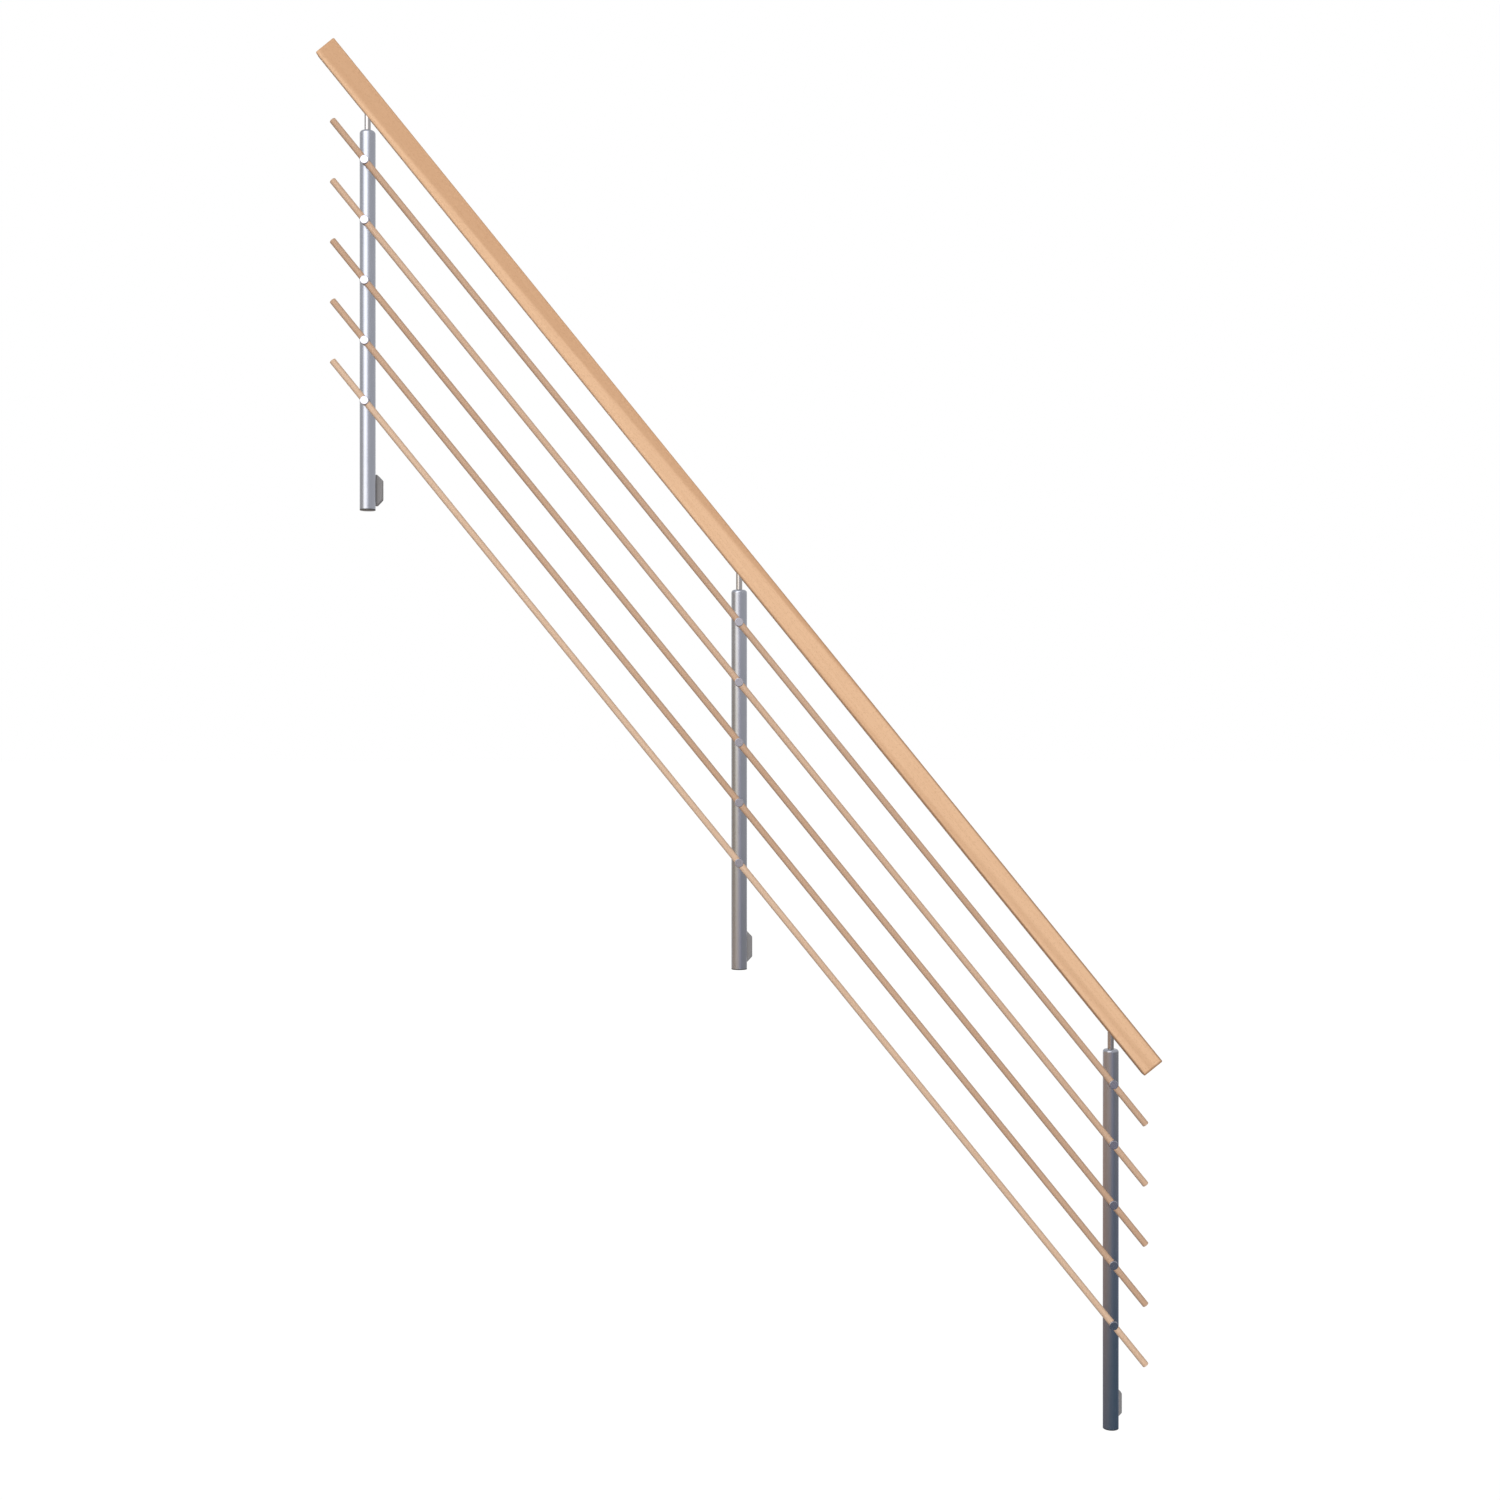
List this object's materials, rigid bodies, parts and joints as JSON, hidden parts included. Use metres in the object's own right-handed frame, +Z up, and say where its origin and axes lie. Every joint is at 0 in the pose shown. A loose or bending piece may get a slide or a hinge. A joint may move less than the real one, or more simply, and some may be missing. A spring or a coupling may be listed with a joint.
{
  "type": "stair balustrade panel",
  "caption": "Sloping stair balustrade panel: rectangular beech handrail on pins, tubular aluminium posts with side brackets, and round beech rods in turned holders.",
  "frame": {"origin": "on the lowest side bracket's back face, straight behind that post's axis, halfway between its bolts", "axes": "+X level and downhill along the panel, +Y into the stair string, +Z up"},
  "size_m": [2.1564, 0.0765, 3.5478],
  "materials": {
    "handrail_beech": "lacquered beech",
    "rod_beech": "lacquered beech",
    "post_aluminium": "satin anodised",
    "cap_aluminium": "turned, satin",
    "pin_steel": "plain turned",
    "holder_steel": "turned, satin",
    "grey_moulding": "matt grey",
    "black_moulding": "matt black"
  },
  "bodies": {
    "root": {"handrail": "handrail_beech", "rod_1": "rod_beech", "rod_2": "rod_beech", "rod_3": "rod_beech", "rod_4": "rod_beech", "rod_5": "rod_beech", "lower_post_tube": "post_aluminium", "lower_post_cap": "cap_aluminium", "lower_end_plug": "black_moulding", "lower_handrail_pin": "pin_steel", "lower_side_bracket": "grey_moulding", "lower_rod_holder_1": "holder_steel", "lower_rod_holder_2": "holder_steel", "lower_rod_holder_3": "holder_steel", "lower_rod_holder_4": "holder_steel", "lower_rod_holder_5": "holder_steel", "middle_post_tube": "post_aluminium", "middle_post_cap": "cap_aluminium", "middle_end_plug": "black_moulding", "middle_handrail_pin": "pin_steel", "middle_side_bracket": "grey_moulding", "middle_rod_holder_1": "holder_steel", "middle_rod_holder_2": "holder_steel", "middle_rod_holder_3": "holder_steel", "middle_rod_holder_4": "holder_steel", "middle_rod_holder_5": "holder_steel", "upper_post_tube": "post_aluminium", "upper_post_cap": "cap_aluminium", "upper_end_plug": "black_moulding", "upper_handrail_pin": "pin_steel", "upper_side_bracket": "grey_moulding", "upper_rod_holder_1": "holder_steel", "upper_rod_holder_2": "holder_steel", "upper_rod_holder_3": "holder_steel", "upper_rod_holder_4": "holder_steel", "upper_rod_holder_5": "holder_steel"}
  },
  "joints": []
}
